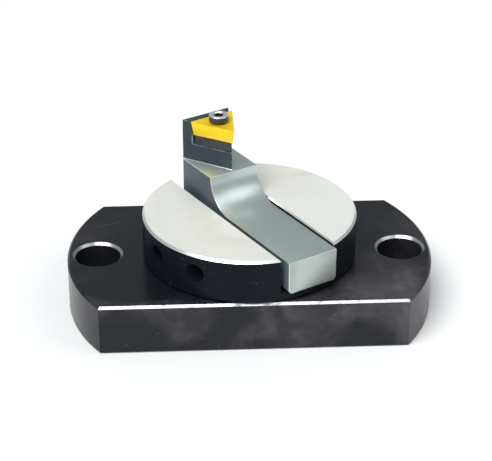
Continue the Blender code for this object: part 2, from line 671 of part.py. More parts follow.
def insert_and_shim(bar_axis, screw_axis):
    place = Matrix.Translation((INSERT_CENTRE, BAR_AXIS, 0))
    bm = bmesh.new()
    for height, inset in ((INSERT_BOTTOM, INSERT_LEAN), (RAKE, 0)):
        corner = max(INSERT_CORNER - inset, INSERT_LEAST_CORNER)
        outline = rounded_triangle(INSERT_INRADIUS - inset, corner)
        bm.faces.new([bm.verts.new((x, y, height)) for x, y in outline])
    bmesh.ops.bridge_loops(bm, edges=list(bm.edges))
    bmesh.ops.recalc_face_normals(bm, faces=bm.faces)
    bmesh.ops.transform(bm, matrix=place, verts=bm.verts)
    insert = piece("carbide_insert", bm, NITRIDE_GOLD, bar_axis)
    hole = rod(INSERT_HOLE, INSERT_BOTTOM - OVER, RAKE + OVER, 24, place)
    boolean(insert, "insert_hole_cutter", hole)

    bm = prism(rounded_triangle(SHIM_INRADIUS, INSERT_CORNER / 2), SHIM_BOTTOM, SHIM_TOP)
    bmesh.ops.transform(bm, matrix=place, verts=bm.verts)
    shim = piece("insert_shim", bm, CARBIDE, bar_axis)
    flange_bottom = SHIM_TOP - SHIM_SCREW_FLANGE_THICKNESS
    outline = [
        (0, SHIM_BOTTOM - OVER),
        (SHIM_SCREW_SHANK + CLEARANCE, SHIM_BOTTOM - OVER),
        (SHIM_SCREW_SHANK + CLEARANCE, flange_bottom - CLEARANCE),
        (SHIM_SCREW_FLANGE + CLEARANCE, flange_bottom - CLEARANCE),
        (SHIM_SCREW_FLANGE + CLEARANCE, SHIM_TOP + OVER),
        (0, SHIM_TOP + OVER),
    ]
    cutter = turned(outline, 24)
    bmesh.ops.transform(cutter, matrix=place, verts=cutter.verts)
    boolean(shim, "shim_hole_cutter", cutter)

    outline = [
        (SHIM_SCREW_BORE, SEAT - SHIM_SCREW_LENGTH),
        (SHIM_SCREW_SHANK, SEAT - SHIM_SCREW_LENGTH),
        (SHIM_SCREW_SHANK, flange_bottom),
        (SHIM_SCREW_FLANGE, flange_bottom),
        (SHIM_SCREW_FLANGE, SHIM_TOP),
        (SHIM_SCREW_BORE, SHIM_TOP),
    ]
    bm = turned(outline, 24)
    bmesh.ops.transform(bm, matrix=place, verts=bm.verts)
    piece("shim_screw", bm, SCREW_STEEL, bar_axis)

    head_bottom = RAKE + CLEARANCE
    head_top = head_bottom + INSERT_SCREW_HEAD_HEIGHT
    crown = INSERT_SCREW_HEAD_HEIGHT / 4
    head = INSERT_SCREW_HEAD_DIAMETER / 2
    outline = [
        (0, head_bottom - INSERT_SCREW_LENGTH),
        (INSERT_SCREW, head_bottom - INSERT_SCREW_LENGTH),
        (INSERT_SCREW, head_bottom),
        (head, head_bottom),
        *arc((head - crown, head_top - crown), crown, 0, math.pi / 2, 3),
        (0, head_top),
    ]
    screw = piece("insert_screw", turned(outline, 32), SCREW_STEEL, screw_axis)
    socket = rod(
        hex_radius(INSERT_SCREW_HEX), head_top - INSERT_SCREW_HEAD_HEIGHT * 0.7, head_top + OVER, 6
    )
    boolean(screw, "insert_screw_socket_cutter", socket)


def main():
    clear_scene()
    table_axis = axis_empty("table_axis", turn=TABLE_TURN)
    cage_axis = axis_empty("cage_axis")
    bar_axis = axis_empty("bar_axis", parent=table_axis)
    screw_axis = axis_empty("insert_screw_axis", (INSERT_CENTRE, BAR_AXIS, 0), parent=bar_axis)
    base_flange()
    pivot_bush()
    dust_seal()
    thrust_bearing(table_axis, cage_axis)
    swivel_table(table_axis)
    nut_and_washers(table_axis)
    clamp_screws(table_axis)
    tool_bar(bar_axis)
    insert_and_shim(bar_axis, screw_axis)


main()
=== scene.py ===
"""Looks of a lathe's ball turning attachment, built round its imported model.

The flange, table, tool bar, insert, shim, screws and lock nut are modelled again here with fine edges,
chamfers and threads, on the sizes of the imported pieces. The bearing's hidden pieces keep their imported
shapes and get real finishes.
"""

import json
import logging
import math
from collections.abc import Callable, Iterable
from dataclasses import dataclass, field
from enum import Enum

import bmesh
import bpy
from mathutils import Matrix, Vector

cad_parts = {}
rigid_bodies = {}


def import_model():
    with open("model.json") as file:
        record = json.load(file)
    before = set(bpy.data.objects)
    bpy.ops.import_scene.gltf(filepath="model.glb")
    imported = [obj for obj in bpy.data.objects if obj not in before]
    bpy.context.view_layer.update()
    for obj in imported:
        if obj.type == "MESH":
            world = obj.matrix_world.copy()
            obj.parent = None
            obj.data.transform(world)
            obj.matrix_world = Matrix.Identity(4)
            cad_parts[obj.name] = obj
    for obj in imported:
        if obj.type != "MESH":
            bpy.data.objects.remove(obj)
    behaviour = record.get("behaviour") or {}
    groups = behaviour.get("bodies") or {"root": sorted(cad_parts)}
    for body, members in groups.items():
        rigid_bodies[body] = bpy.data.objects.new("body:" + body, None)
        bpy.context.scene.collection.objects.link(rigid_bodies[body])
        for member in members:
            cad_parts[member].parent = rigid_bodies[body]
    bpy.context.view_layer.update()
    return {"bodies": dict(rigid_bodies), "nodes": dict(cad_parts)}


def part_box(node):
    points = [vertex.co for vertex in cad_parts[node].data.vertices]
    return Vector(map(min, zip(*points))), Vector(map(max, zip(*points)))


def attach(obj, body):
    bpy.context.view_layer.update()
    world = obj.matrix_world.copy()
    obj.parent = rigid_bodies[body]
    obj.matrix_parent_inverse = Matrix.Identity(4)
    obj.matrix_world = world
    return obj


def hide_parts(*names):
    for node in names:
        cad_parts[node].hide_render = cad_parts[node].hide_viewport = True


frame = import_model()

LOG = logging.getLogger("ball_turning_attachment")
MM = 0.001
GAP = 0.3 * MM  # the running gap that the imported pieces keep
OVER = 2.0 * MM  # how far a cutter passes the face that it leaves
WELD = 0.000002
FLAT = math.radians(0.15)
SHARP = math.radians(26)
# Edge slot: its bright finishes paint a highlight along the edges as well as worn metal.
EDGE_WEAR_AND_HIGHLIGHT_SLOT = 1  # the material index of broken edges

Point = tuple[float, float]
Colour = tuple[float, float, float]
Solid = bmesh.types.BMesh
Face = bmesh.types.BMFace


# Shader maths


class Signal:
    """One output of a shader node, which takes part in arithmetic as a number would."""

    def __init__(self, shader: "Shader", socket: bpy.types.NodeSocket) -> None:
        """Wraps a socket of a shader's tree."""
        self.shader = shader
        self.socket = socket

    def _math(self, operation: str, *values: "Signal | float") -> "Signal":
        """Adds one Math node.

        Args:
            operation: The Math node's operation.
            values: What goes into its sockets, in order.

        Returns:
            The node's result.
        """
        node = self.shader.node("ShaderNodeMath", {"operation": operation}, dict(enumerate(values)))
        return Signal(self.shader, node.outputs[0])

    def __add__(self, other: "Signal | float") -> "Signal":
        """Self plus other."""
        return self._math("ADD", self, other)

    def __sub__(self, other: "Signal | float") -> "Signal":
        """Self minus other."""
        return self._math("SUBTRACT", self, other)

    def __rsub__(self, other: float) -> "Signal":
        """Other minus self."""
        return self._math("SUBTRACT", other, self)

    def __mul__(self, other: "Signal | float") -> "Signal":
        """Self times other."""
        return self._math("MULTIPLY", self, other)

    __radd__ = __add__
    __rmul__ = __mul__

    def rise(self, low: float, high: float) -> "Signal":
        """A smooth step that is 0 below low and 1 above high.

        Args:
            low: Where the step starts.
            high: Where it ends.

        Returns:
            The stepped signal.
        """
        node = self.shader.node(
            "ShaderNodeMapRange",
            {"interpolation_type": "SMOOTHSTEP"},
            {"Value": self, "From Min": low, "From Max": high},
        )
        return Signal(self.shader, node.outputs["Result"])


class Shader:
    """A material with one Principled shader and the patterns that drive it."""

    def __init__(self, name: str) -> None:
        """Starts an empty material.

        Args:
            name: The material's name.
        """
        self.material = bpy.data.materials.new(name)
        self.material.use_nodes = True
        self.tree = self.material.node_tree
        self.principled = self.tree.nodes["Principled BSDF"]
        self.place = self.node("ShaderNodeTexCoord", {}, {}).outputs["Object"]

    def node(self, kind: str, settings: dict[str, object], inputs: dict[object, object]) -> bpy.types.Node:
        """Adds a node, sets it up and fills its sockets.

        Args:
            kind: The node's type.
            settings: Its properties.
            inputs: Values, sockets or signals by socket name or number.

        Returns:
            The new node.
        """
        node = self.tree.nodes.new(kind)
        for key, value in settings.items():
            setattr(node, key, value)
        for key, value in inputs.items():
            if isinstance(value, Signal):
                value = value.socket
            if isinstance(value, bpy.types.NodeSocket):
                self.tree.links.new(value, node.inputs[key])
            else:
                node.inputs[key].default_value = value
        return node

    def noise(
        self,
        per_metre: float,
        detail: float = 3.0,
        distortion: float = 0.0,
        stretch: tuple[float, float, float] = (1, 1, 1),
        turn: float = 0.0,
    ) -> Signal:
        """A noise pattern fixed to the piece.

        Args:
            per_metre: How many blotches there are in a metre.
            detail: How many octaves it has.
            distortion: How far it swirls.
            stretch: Scale factors along the pattern's own axes.
            turn: The angle of those axes about Z.

        Returns:
            The noise, from 0 to 1.
        """
        mapping = self.node(
            "ShaderNodeMapping",
            {"vector_type": "TEXTURE"},
            {"Vector": self.place, "Rotation": (0, 0, turn), "Scale": tuple(1 / part for part in stretch)},
        )
        node = self.node(
            "ShaderNodeTexNoise",
            {},
            {"Vector": mapping.outputs[0], "Scale": per_metre, "Detail": detail, "Distortion": distortion},
        )
        return Signal(self, node.outputs[0])

    def across(self) -> Signal:
        """The place along Y, in metres."""
        return Signal(self, self.node("ShaderNodeSeparateXYZ", {}, {0: self.place}).outputs["Y"])

    def mix(self, factor: Signal, first: object, second: object) -> bpy.types.NodeSocket:
        """Mixes two colours.

        Args:
            factor: 0 gives the first colour, 1 the second.
            first: A colour or a colour socket.
            second: A colour or a colour socket.

        Returns:
            The mixed colour's socket.
        """
        colours = [(*c, 1) if isinstance(c, tuple) else c for c in (first, second)]
        node = self.node(
            "ShaderNodeMix", {"data_type": "RGBA"}, {"Factor": factor, 6: colours[0], 7: colours[1]}
        )
        return node.outputs[2]

    def dress(
        self, bump: Signal | None = None, height: float = 0.0, **sockets: object
    ) -> bpy.types.Material:
        """Fills the Principled shader.

        Args:
            bump: A height pattern, if the surface has one.
            height: Its depth in metres.
            sockets: Values or links, by socket name with spaces as underscores.

        Returns:
            The finished material.
        """
        if bump is not None:
            relief = self.node("ShaderNodeBump", {}, {"Height": bump, "Distance": height, "Strength": 1.0})
            sockets["Normal"] = relief.outputs[0]
        for name, value in sockets.items():
            target = self.principled.inputs[name.replace("_", " ")]
            if isinstance(value, Signal):
                value = value.socket
            if isinstance(value, bpy.types.NodeSocket):
                self.tree.links.new(value, target)
            else:
                target.default_value = value
        return self.material


# Finishes


@dataclass(frozen=True)
class GroundSteel:
    """Bright steel with the fine straight lines of a surface grinder."""

    colour: Colour = (0.80, 0.81, 0.79)
    tint: Colour = (0.66, 0.67, 0.64)
    roughness: float = 0.34
    metallic: float = 0.9
    lay: float = 0.0
    lines_per_metre: float = 2600.0
    depth: float = 0.004 * MM

    def material(self, name: str) -> bpy.types.Material:
        """Builds the material, with its lines along the lay.

        Args:
            name: The material's name.

        Returns:
            The material.
        """
        shader = Shader(name)
        lines = shader.noise(self.lines_per_metre, 2.0, stretch=(0.025, 1.0, 0.4), turn=self.lay)
        clouds = shader.noise(55.0, 4.0, distortion=0.5)
        pits = shader.noise(1500.0, 2.0).rise(0.66, 0.74)
        stain = clouds.rise(0.42, 0.78)
        colour = shader.mix(stain * 0.55 + pits * 0.35, self.colour, self.tint)
        gloss = self.roughness + (lines - 0.5) * 0.16 + stain * 0.10 + pits * 0.15
        return shader.dress(
            bump=lines - pits * 0.6,
            height=self.depth,
            Base_Color=colour,
            Roughness=gloss,
            Metallic=self.metallic,
        )


@dataclass(frozen=True)
class BlackOxide:
    """Hot-blacked steel: glossy, near black, with smoky bloom and fine handling marks."""

    colour: Colour = (0.0065, 0.0085, 0.0115)
    bloom: Colour = (0.098, 0.088, 0.104)
    roughness: float = 0.22
    bloom_amount: float = 0.9
    specular: float = 0.28
    bloom_front: float | None = None
    front_run: float = 22 * MM
    front_bloom: float = 1.3
    front_fade: float = 0.95

    def material(self, name: str) -> bpy.types.Material:
        """Builds the material.

        Args:
            name: The material's name.

        Returns:
            The material.
        """
        shader = Shader(name)
        smoke = shader.noise(32.0, 5.0, distortion=0.7).rise(0.47, 0.76)
        haze = shader.noise(150.0, 3.0, distortion=0.3).rise(0.40, 0.75)
        scratches = shader.noise(520.0, 2.0, stretch=(0.05, 1.0, 1.0), turn=0.4).rise(0.68, 0.80)
        grit = shader.noise(2600.0, 1.0).rise(0.70, 0.78)
        bloom = smoke * (haze * 0.5 + 0.5) * self.bloom_amount
        if self.bloom_front is not None:
            back = shader.across().rise(self.bloom_front, self.bloom_front + self.front_run)
            bloom = bloom * (self.front_bloom - back * self.front_fade)
        base = shader.mix(bloom, self.colour, self.bloom)
        colour = shader.mix(scratches * 0.25 + grit * 0.3, base, (0.16, 0.16, 0.16))
        gloss = self.roughness + bloom * 0.20 + haze * 0.05 + grit * 0.2
        relief = shader.noise(900.0, 2.0) + scratches * 0.5
        return shader.dress(
            bump=relief,
            height=0.003 * MM,
            Base_Color=colour,
            Roughness=gloss,
            Specular_IOR_Level=self.specular,
        )


@dataclass(frozen=True)
class EdgeWearAndHighlight:
    """A broken edge drawn brighter than the faces beside it: partly worn through the finish by rubbing,
    partly a painted highlight along the edge.
    """

    bright: Colour = (0.72, 0.73, 0.72)
    dark: Colour = (0.12, 0.12, 0.125)
    bright_share: float = 0.5

    def material(self, name: str) -> bpy.types.Material:
        """Builds the material, mostly bright where the share of bright patches is near 1.

        Args:
            name: The material's name.

        Returns:
            The material.
        """
        shader = Shader(name)
        patches = shader.noise(260.0, 4.0, distortion=0.4)
        bright_patches = (patches + (self.bright_share - 0.5)).rise(0.38, 0.62)
        colour = shader.mix(bright_patches, self.dark, self.bright)
        grain = shader.noise(3000.0, 2.0)
        return shader.dress(
            bump=grain,
            height=0.003 * MM,
            Base_Color=colour,
            Roughness=0.42 - bright_patches * 0.12,
            Metallic=bright_patches * 0.7 + 0.2,
        )


@dataclass(frozen=True)
class NitrideGold:
    """Titanium nitride on sintered carbide: golden, satin, with fine grain."""

    colour: Colour = (0.98, 0.66, 0.012)
    deep: Colour = (0.90, 0.50, 0.006)
    roughness: float = 0.36
    metallic: float = 0.35

    def material(self, name: str) -> bpy.types.Material:
        """Builds the material.

        Args:
            name: The material's name.

        Returns:
            The material.
        """
        shader = Shader(name)
        clouds = shader.noise(220.0, 4.0, distortion=0.3).rise(0.40, 0.80)
        grain = shader.noise(5200.0, 3.0)
        colour = shader.mix(clouds * 0.55 + grain.rise(0.55, 0.8) * 0.3, self.colour, self.deep)
        return shader.dress(
            bump=grain,
            height=0.008 * MM,
            Base_Color=colour,
            Roughness=self.roughness + (grain - 0.5) * 0.2,
            Metallic=self.metallic,
        )


@dataclass(frozen=True)
class PlainMetal:
    """A turned, pressed or sintered metal with faint blotches and grain."""

    colour: Colour
    shade: Colour
    roughness: float
    metallic: float = 0.9
    grain_per_metre: float = 2400.0
    depth: float = 0.004 * MM

    def material(self, name: str) -> bpy.types.Material:
        """Builds the material.

        Args:
            name: The material's name.

        Returns:
            The material.
        """
        shader = Shader(name)
        blotches = shader.noise(180.0, 4.0, distortion=0.6).rise(0.38, 0.78)
        grain = shader.noise(self.grain_per_metre, 3.0)
        colour = shader.mix(blotches * 0.7 + grain.rise(0.5, 0.9) * 0.3, self.colour, self.shade)
        return shader.dress(
            bump=grain,
            height=self.depth,
            Base_Color=colour,
            Roughness=self.roughness + (grain - 0.5) * 0.16 + blotches * 0.08,
            Metallic=self.metallic,
        )


class Finish(Enum):
    """Every finish on the attachment, named as a maker would call it, with the painted light or shade that
    some of them carry.
    """

    TABLE_FACE = GroundSteel(
        colour=(0.78, 0.80, 0.75), tint=(0.62, 0.60, 0.53), roughness=0.44, metallic=0.25
    )
    # Ground steel of the bar; the teal tint of its colour and stains is a painted reflection.
    BAR_GROUND = GroundSteel(
        colour=(0.62, 0.73, 0.71), tint=(0.45, 0.56, 0.55), roughness=0.36, metallic=0.92, lay=-math.pi / 3
    )
    # A darker copy of the bar's ground steel for its plain end: painted shade on that face.
    BAR_END = GroundSteel(colour=(0.52, 0.57, 0.54), tint=(0.30, 0.33, 0.30), roughness=0.42, metallic=0.6)
    # A black-oxide look for the bar's long sides, darker than ground steel: painted shade on those sides.
    BAR_BLUED = BlackOxide(colour=(0.060, 0.080, 0.095), bloom=(0.11, 0.13, 0.14), roughness=0.34)
    # Blued steel of the head; the strong green tint of its bloom is a painted reflection over the smoky
    # bloom.
    HEAD_BLUED = BlackOxide(
        colour=(0.022, 0.034, 0.048), bloom=(0.070, 0.110, 0.085), roughness=0.28, bloom_amount=1.6
    )
    FLANGE_BLACK = BlackOxide(bloom_front=-30 * MM)
    TABLE_BLACK = BlackOxide(
        colour=(0.005, 0.007, 0.011),
        bloom=(0.014, 0.016, 0.022),
        roughness=0.36,
        bloom_amount=0.6,
        specular=0.08,
    )
    # Bright flange chamfers: steel cut bare after the blacking, with a painted highlight along the edge.
    MACHINED_CHAMFER = EdgeWearAndHighlight(bright=(0.44, 0.45, 0.46), dark=(0.15, 0.15, 0.16), bright_share=0.65)
    # Bright edges: worn steel and a painted highlight along each edge.
    EDGE_BRIGHT = EdgeWearAndHighlight(bright=(0.84, 0.85, 0.82), dark=(0.55, 0.55, 0.53), bright_share=0.8)
    EDGE_DARK = EdgeWearAndHighlight(bright=(0.34, 0.37, 0.38), dark=(0.03, 0.036, 0.045), bright_share=0.5)
    INSERT_GOLD = NitrideGold()
    INSERT_EDGE = NitrideGold(colour=(0.98, 0.66, 0.05), deep=(0.88, 0.46, 0.01), roughness=0.28)
    SHIM_CARBIDE = PlainMetal((0.050, 0.055, 0.065), (0.028, 0.030, 0.036), 0.42, 0.6, 4200.0)
    SCREW_BLACK = PlainMetal((0.060, 0.052, 0.070), (0.026, 0.024, 0.030), 0.36, 0.6)
    NUT_BLUED = PlainMetal((0.050, 0.056, 0.070), (0.022, 0.024, 0.030), 0.34, 0.6)
    RACE_POLISHED = PlainMetal((0.66, 0.67, 0.69), (0.56, 0.57, 0.60), 0.16, 1.0, 1800.0, 0.001 * MM)
    CAGE_PRESSED = PlainMetal((0.46, 0.45, 0.42), (0.33, 0.31, 0.28), 0.42, 0.95)
    BUSH_BRONZE = PlainMetal((0.62, 0.38, 0.15), (0.44, 0.24, 0.09), 0.36, 0.95)
    SEAL_RUBBER = PlainMetal((0.020, 0.020, 0.020), (0.034, 0.034, 0.034), 0.66, 0.0, 3200.0, 0.008 * MM)
    THREAD_CUT = PlainMetal((0.44, 0.45, 0.45), (0.26, 0.26, 0.27), 0.34, 0.95)

    def material(self) -> bpy.types.Material:
        """The finish's material, made the first time that it is asked for."""
        name = self.name.lower()
        return bpy.data.materials.get(name) or self.value.material(name)


# Mesh tools


class Plane(Enum):
    """The plane that an outline is drawn in, as the matrix that stands it up from X and Y."""

    XY = Matrix.Identity(4)
    XZ = Matrix(((1, 0, 0, 0), (0, 0, 1, 0), (0, 1, 0, 0), (0, 0, 0, 1)))
    YZ = Matrix(((0, 0, 1, 0), (1, 0, 0, 0), (0, 1, 0, 0), (0, 0, 0, 1)))


def arc(centre: Point, radius: float, start: float, end: float, steps: int) -> list[Point]:
    """Points along an arc.

    Args:
        centre: The arc's centre.
        radius: Its radius.
        start: The first point's angle in radians.
        end: The last point's angle.
        steps: How many stretches it has.

    Returns:
        The points, both ends included.
    """
    angles = [start + (end - start) * step / steps for step in range(steps + 1)]
    return [(centre[0] + radius * math.cos(a), centre[1] + radius * math.sin(a)) for a in angles]


def turned(outline: list[Point], steps: int) -> Solid:
    """Turns an outline of radii and heights about Z.

    Args:
        outline: The points. An outline that starts on the axis is left open there.
        steps: How many faces there are round the axis.

    Returns:
        The closed solid.
    """
    bm = bmesh.new()
    corners = [bm.verts.new((radius, 0, height)) for radius, height in outline]
    edges = [bm.edges.new(pair) for pair in zip(corners, corners[1:])]
    if outline[0][0] > 0:
        edges.append(bm.edges.new((corners[-1], corners[0])))
    bmesh.ops.spin(bm, geom=corners + edges, axis=(0, 0, 1), angle=2 * math.pi, steps=steps, use_merge=True)
    bmesh.ops.remove_doubles(bm, verts=bm.verts, dist=WELD)
    bmesh.ops.recalc_face_normals(bm, faces=bm.faces)
    return bm


def extruded(outline: list[Point], start: float, end: float, plane: Plane = Plane.XY) -> Solid:
    """Extrudes an outline square to its plane.

    Args:
        outline: The corners.
        start: The first end's place along the third axis.
        end: The other end's.
        plane: The outline's plane.

    Returns:
        The closed solid.
    """
    bm = bmesh.new()
    face = bm.faces.new([bm.verts.new((a, b, start)) for a, b in outline])
    grown = bmesh.ops.extrude_face_region(bm, geom=[face])["geom"]
    ends = [item for item in grown if isinstance(item, bmesh.types.BMVert)]
    bmesh.ops.translate(bm, verts=ends, vec=(0, 0, end - start))
    bmesh.ops.transform(bm, matrix=plane.value, verts=bm.verts)
    bmesh.ops.recalc_face_normals(bm, faces=bm.faces)
    return bm


def heights(name: str) -> Point:
    """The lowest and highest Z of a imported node."""
    low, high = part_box(name)
    return low.z, high.z


def across_slot(along: float, start: float, height: float) -> Matrix:
    """Lays a piece that stands on Z across the slot, towards the clamp screws' side."""
    return Matrix.Translation((along, start, height)) @ Matrix.Rotation(math.pi / 2, 4, "X")


def oblong(left: float, front: float, right: float, back: float) -> list[Point]:
    """The four corners of an oblong."""
    return [(left, front), (right, front), (right, back), (left, back)]


def drill(radius: float, low: float, high: float, steps: int) -> Solid:
    """A straight round cutter about Z, from one height to another."""
    return turned([(0, low), (radius, low), (radius, high), (0, high)], steps)


def hexagon_tool(reach: float, low: float, high: float) -> Solid:
    """Makes a six-sided cutter about Z.

    Args:
        reach: The distance from its axis to its corners.
        low: The height of its foot.
        high: The height of its top.

    Returns:
        The tool.
    """
    bm = bmesh.new()
    middle = Matrix.Translation((0, 0, (low + high) / 2))
    bmesh.ops.create_cone(
        bm, cap_ends=True, segments=6, radius1=reach, radius2=reach, depth=high - low, matrix=middle
    )
    return bm


def lofted(rings: list[list[tuple[float, float, float]]]) -> Solid:
    """Carries a ring of edges through a round of places and back to its start.

    Args:
        rings: Each ring's corners, as many in one as in the next.

    Returns:
        The closed solid.
    """
    bm = bmesh.new()
    corners = [bm.verts.new(place) for place in rings[0]]
    edges = [bm.edges.new(pair) for pair in zip(corners, corners[1:] + corners[:1])]
    for before, after in zip(rings, rings[1:] + rings[:1]):
        grown = bmesh.ops.extrude_edge_only(bm, edges=edges)["geom"]
        fresh = {item for item in grown if isinstance(item, bmesh.types.BMVert)}
        edges = list({edge for vert in fresh for edge in vert.link_edges if set(edge.verts) <= fresh})
        for vert in fresh:
            nearest = min(range(len(before)), key=lambda spot: (vert.co - Vector(before[spot])).length)
            vert.co = after[nearest]
    bmesh.ops.remove_doubles(bm, verts=bm.verts, dist=WELD)
    bmesh.ops.recalc_face_normals(bm, faces=bm.faces)
    return bm


def moved(bm: Solid, matrix: Matrix) -> Solid:
    """Moves a whole mesh by a matrix and hands it back."""
    bmesh.ops.transform(bm, matrix=matrix, verts=bm.verts)
    return bm


def scene_object(name: str, bm: Solid) -> bpy.types.Object:
    """Puts a mesh in the scene, at the origin, and frees the bmesh."""
    mesh = bpy.data.meshes.new(name)
    bm.to_mesh(mesh)
    bm.free()
    obj = bpy.data.objects.new(name, mesh)
    bpy.context.scene.collection.objects.link(obj)
    return obj


def carved(
    body: Solid, tools: Iterable[Solid], operation: str = "DIFFERENCE"
) -> Solid:
    """Cuts tools from a body, or joins them on, and clears the seams that leaves.

    Args:
        body: The solid to work on.
        tools: The solids that cut it or join it.
        operation: A Boolean modifier's operation.

    Returns:
        The carved solid.
    """
    target = scene_object("carving", body)
    helpers = []
    for tool in tools:
        helper = scene_object("tool", tool)
        modifier = target.modifiers.new("carve", "BOOLEAN")
        modifier.object = helper
        modifier.operation = operation
        modifier.solver = "EXACT"
        helpers.append(helper)
    bpy.context.view_layer.update()
    evaluated = target.evaluated_get(bpy.context.evaluated_depsgraph_get())
    bm = bmesh.new()
    bm.from_mesh(evaluated.to_mesh())
    for obj in (target, *helpers):
        bpy.data.meshes.remove(obj.data)
    bmesh.ops.remove_doubles(bm, verts=bm.verts, dist=WELD)
    bmesh.ops.dissolve_degenerate(bm, edges=bm.edges, dist=WELD)
    bmesh.ops.dissolve_limit(bm, angle_limit=FLAT, verts=bm.verts, edges=bm.edges)
    bmesh.ops.recalc_face_normals(bm, faces=bm.faces)
    return bm


def soften(
    bm: Solid,
    width: float,
    segments: int = 2,
    keep: Callable[[bmesh.types.BMEdge], bool] = lambda edge: True,
    over: float = SHARP,
) -> None:
    """Breaks a solid's sharp edges, and gives the new faces the edge slot, whose bright finishes paint a
    highlight along them as well as worn metal.

    Args:
        bm: The solid.
        width: How far the break goes on each side.
        segments: How many faces the break has.
        keep: Says which sharp edges are broken.
        over: The least angle between faces that counts as sharp.
    """
    edges = [
        edge
        for edge in bm.edges
        if len(edge.link_faces) == 2 and edge.calc_face_angle() > over and keep(edge)
    ]
    result = bmesh.ops.bevel(
        bm,
        geom=edges,
        offset=width,
        offset_type="OFFSET",
        segments=segments,
        profile=0.5,
        affect="EDGES",
        material=-1,
        clamp_overlap=True,
    )
    for face in result["faces"]:
        face.material_index = EDGE_WEAR_AND_HIGHLIGHT_SLOT


def paint(bm: Solid, index: int, chosen: Callable[[Face], bool]) -> None:
    """Gives the chosen faces a material index, but for those that have one."""
    for face in bm.faces:
        if face.material_index == 0 and chosen(face):
            face.material_index = index


def finished(
    name: str,
    bm: Solid,
    body: str,
    finishes: Iterable[Finish],
    replaces: Iterable[str] = (),
) -> bpy.types.Object:
    """Makes a piece of a mesh: shades it, dresses it and hangs it on its body.

    Args:
        name: The piece's name.
        bm: Its mesh, in the frame's own place.
        body: The body that it rides on.
        finishes: Its finishes, in the order of the faces' material indices.
        replaces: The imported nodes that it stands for.

    Returns:
        The piece.
    """
    obj = scene_object(name, bm)
    obj.data.shade_smooth()
    obj.data.set_sharp_from_angle(angle=SHARP)
    for finish in finishes:
        obj.data.materials.append(finish.material())
    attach(obj, body)
    if replaces:
        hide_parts(*replaces)
    LOG.info("%s: %d faces on %s", name, len(obj.data.polygons), body)
    return obj


def thread(inner: float, outer: float, start: float, end: float, pitch: float) -> list[Point]:
    """The outline of a screw thread's side, from one end to the other.

    Args:
        inner: The radius at the thread's root.
        outer: The radius at its crest.
        start: The height of the first root.
        end: The height that it stays below.
        pitch: The distance from crest to crest.

    Returns:
        The points, with flat crests and roots.
    """
    count = int((end - start) / pitch)
    points = []
    for turn in range(count):
        base = start + turn * pitch
        steps = ((inner, 0.0), (outer, 0.38), (outer, 0.50), (inner, 0.88))
        points += [(radius, base + share * pitch) for radius, share in steps]
    return points


# The attachment


